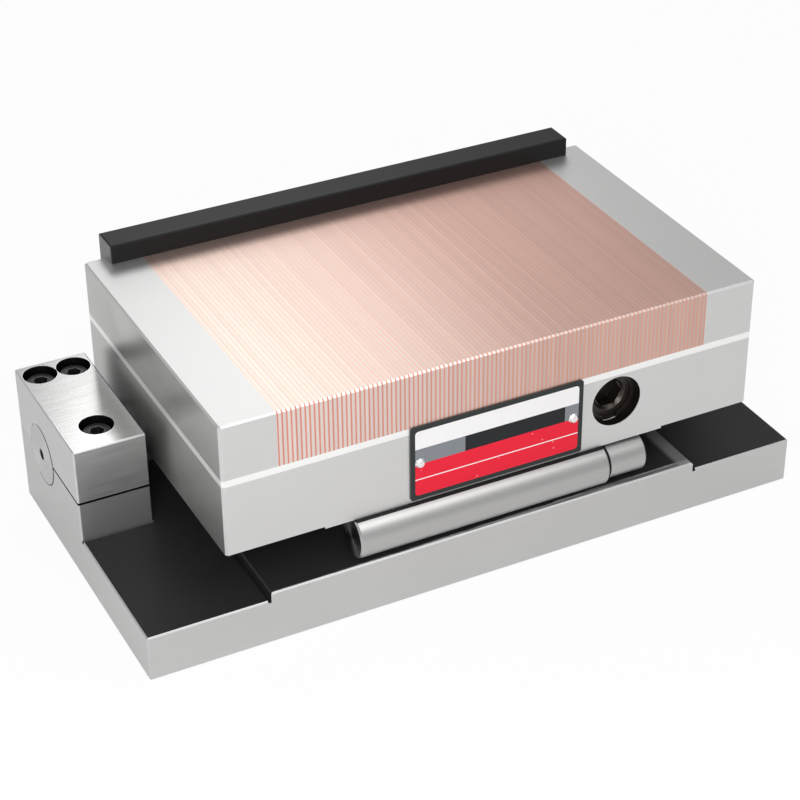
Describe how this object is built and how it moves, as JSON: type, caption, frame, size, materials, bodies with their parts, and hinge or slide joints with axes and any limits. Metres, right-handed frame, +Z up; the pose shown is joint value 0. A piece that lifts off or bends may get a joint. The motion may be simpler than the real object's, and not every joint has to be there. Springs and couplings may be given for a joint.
{
  "type": "sine magnetic chuck",
  "caption": "Fine-pole permanent magnetic chuck that tilts on two rear trunnion pins over a ground base, with a sine roller on a gauge-block pad and a stop rail.",
  "frame": {"origin": "middle of the base's underside", "axes": "+X along the base from the wide bearing block to the narrow one, +Y from the roller side to the hinge side, +Z up"},
  "size_m": [0.31, 0.1672, 0.116],
  "materials": {
    "ground_steel": "ground",
    "bright_seam": "satin",
    "lamination_steel": "ground",
    "copper": "ground copper",
    "black_steel": "black oxide",
    "pin_steel": "turned and ground",
    "roller_steel": "satin turned",
    "black_rail": "black oxide",
    "plate_print": "printed metal",
    "rivet_metal": "bright",
    "dark_steel": "oiled black",
    "seal_rubber": "matte",
    "pack_metal": "milled",
    "magnet": "sintered"
  },
  "bodies": {
    "base": {"base_plate": "ground_steel", "left_bearing_cap": "ground_steel", "right_bearing_cap": "ground_steel", "left_cap_screws": "black_steel", "right_cap_screws": "black_steel"},
    "chuck": {"chuck_body": "ground_steel", "seam_frame": "bright_seam", "left_end_pole": "ground_steel", "right_end_pole": "ground_steel", "steel_laminations": "lamination_steel", "copper_laminations": "copper", "pole_screws": "black_steel", "left_hinge_pin": "pin_steel", "right_hinge_pin": "pin_steel", "hinge_set_screws": "black_steel", "sine_roller": "roller_steel", "roller_screws": "black_steel", "stop_rail": "black_rail", "rail_screws": "black_steel", "nameplate": "plate_print", "nameplate_rivets": "rivet_metal", "retaining_ring": "dark_steel", "stop_pin": "pin_steel"},
    "spindle": {"drive_spindle": "dark_steel", "spindle_seal": "seal_rubber"},
    "magnet_pack": {"pack_front_rail": "pack_metal", "pack_rear_rail": "pack_metal", "pack_end_bars": "pack_metal", "magnet_bars": "magnet", "pole_bars": "lamination_steel", "pack_screws": "black_steel"}
  },
  "joints": [
    {"name": "chuck_tilt", "type": "hinge", "parent": "base", "child": "chuck", "pos_m": [0, 0.0465, 0.038], "axis": [-1, 0, 0], "range_deg": [0, 45]},
    {"name": "spindle_turn", "type": "hinge", "parent": "chuck", "child": "spindle", "pos_m": [0.0652, -0.06, 0.0657], "axis": [0, 1, 0], "range_deg": [0, 180]},
    {"name": "magnet_slide", "type": "slide", "parent": "chuck", "child": "magnet_pack", "axis": [1, 0, 0], "range_m": [0, 0.004]}
  ],
  "couplings": [
    {"joint": "spindle_turn", "follows": "magnet_slide", "rad_per_m": 785.39}
  ]
}
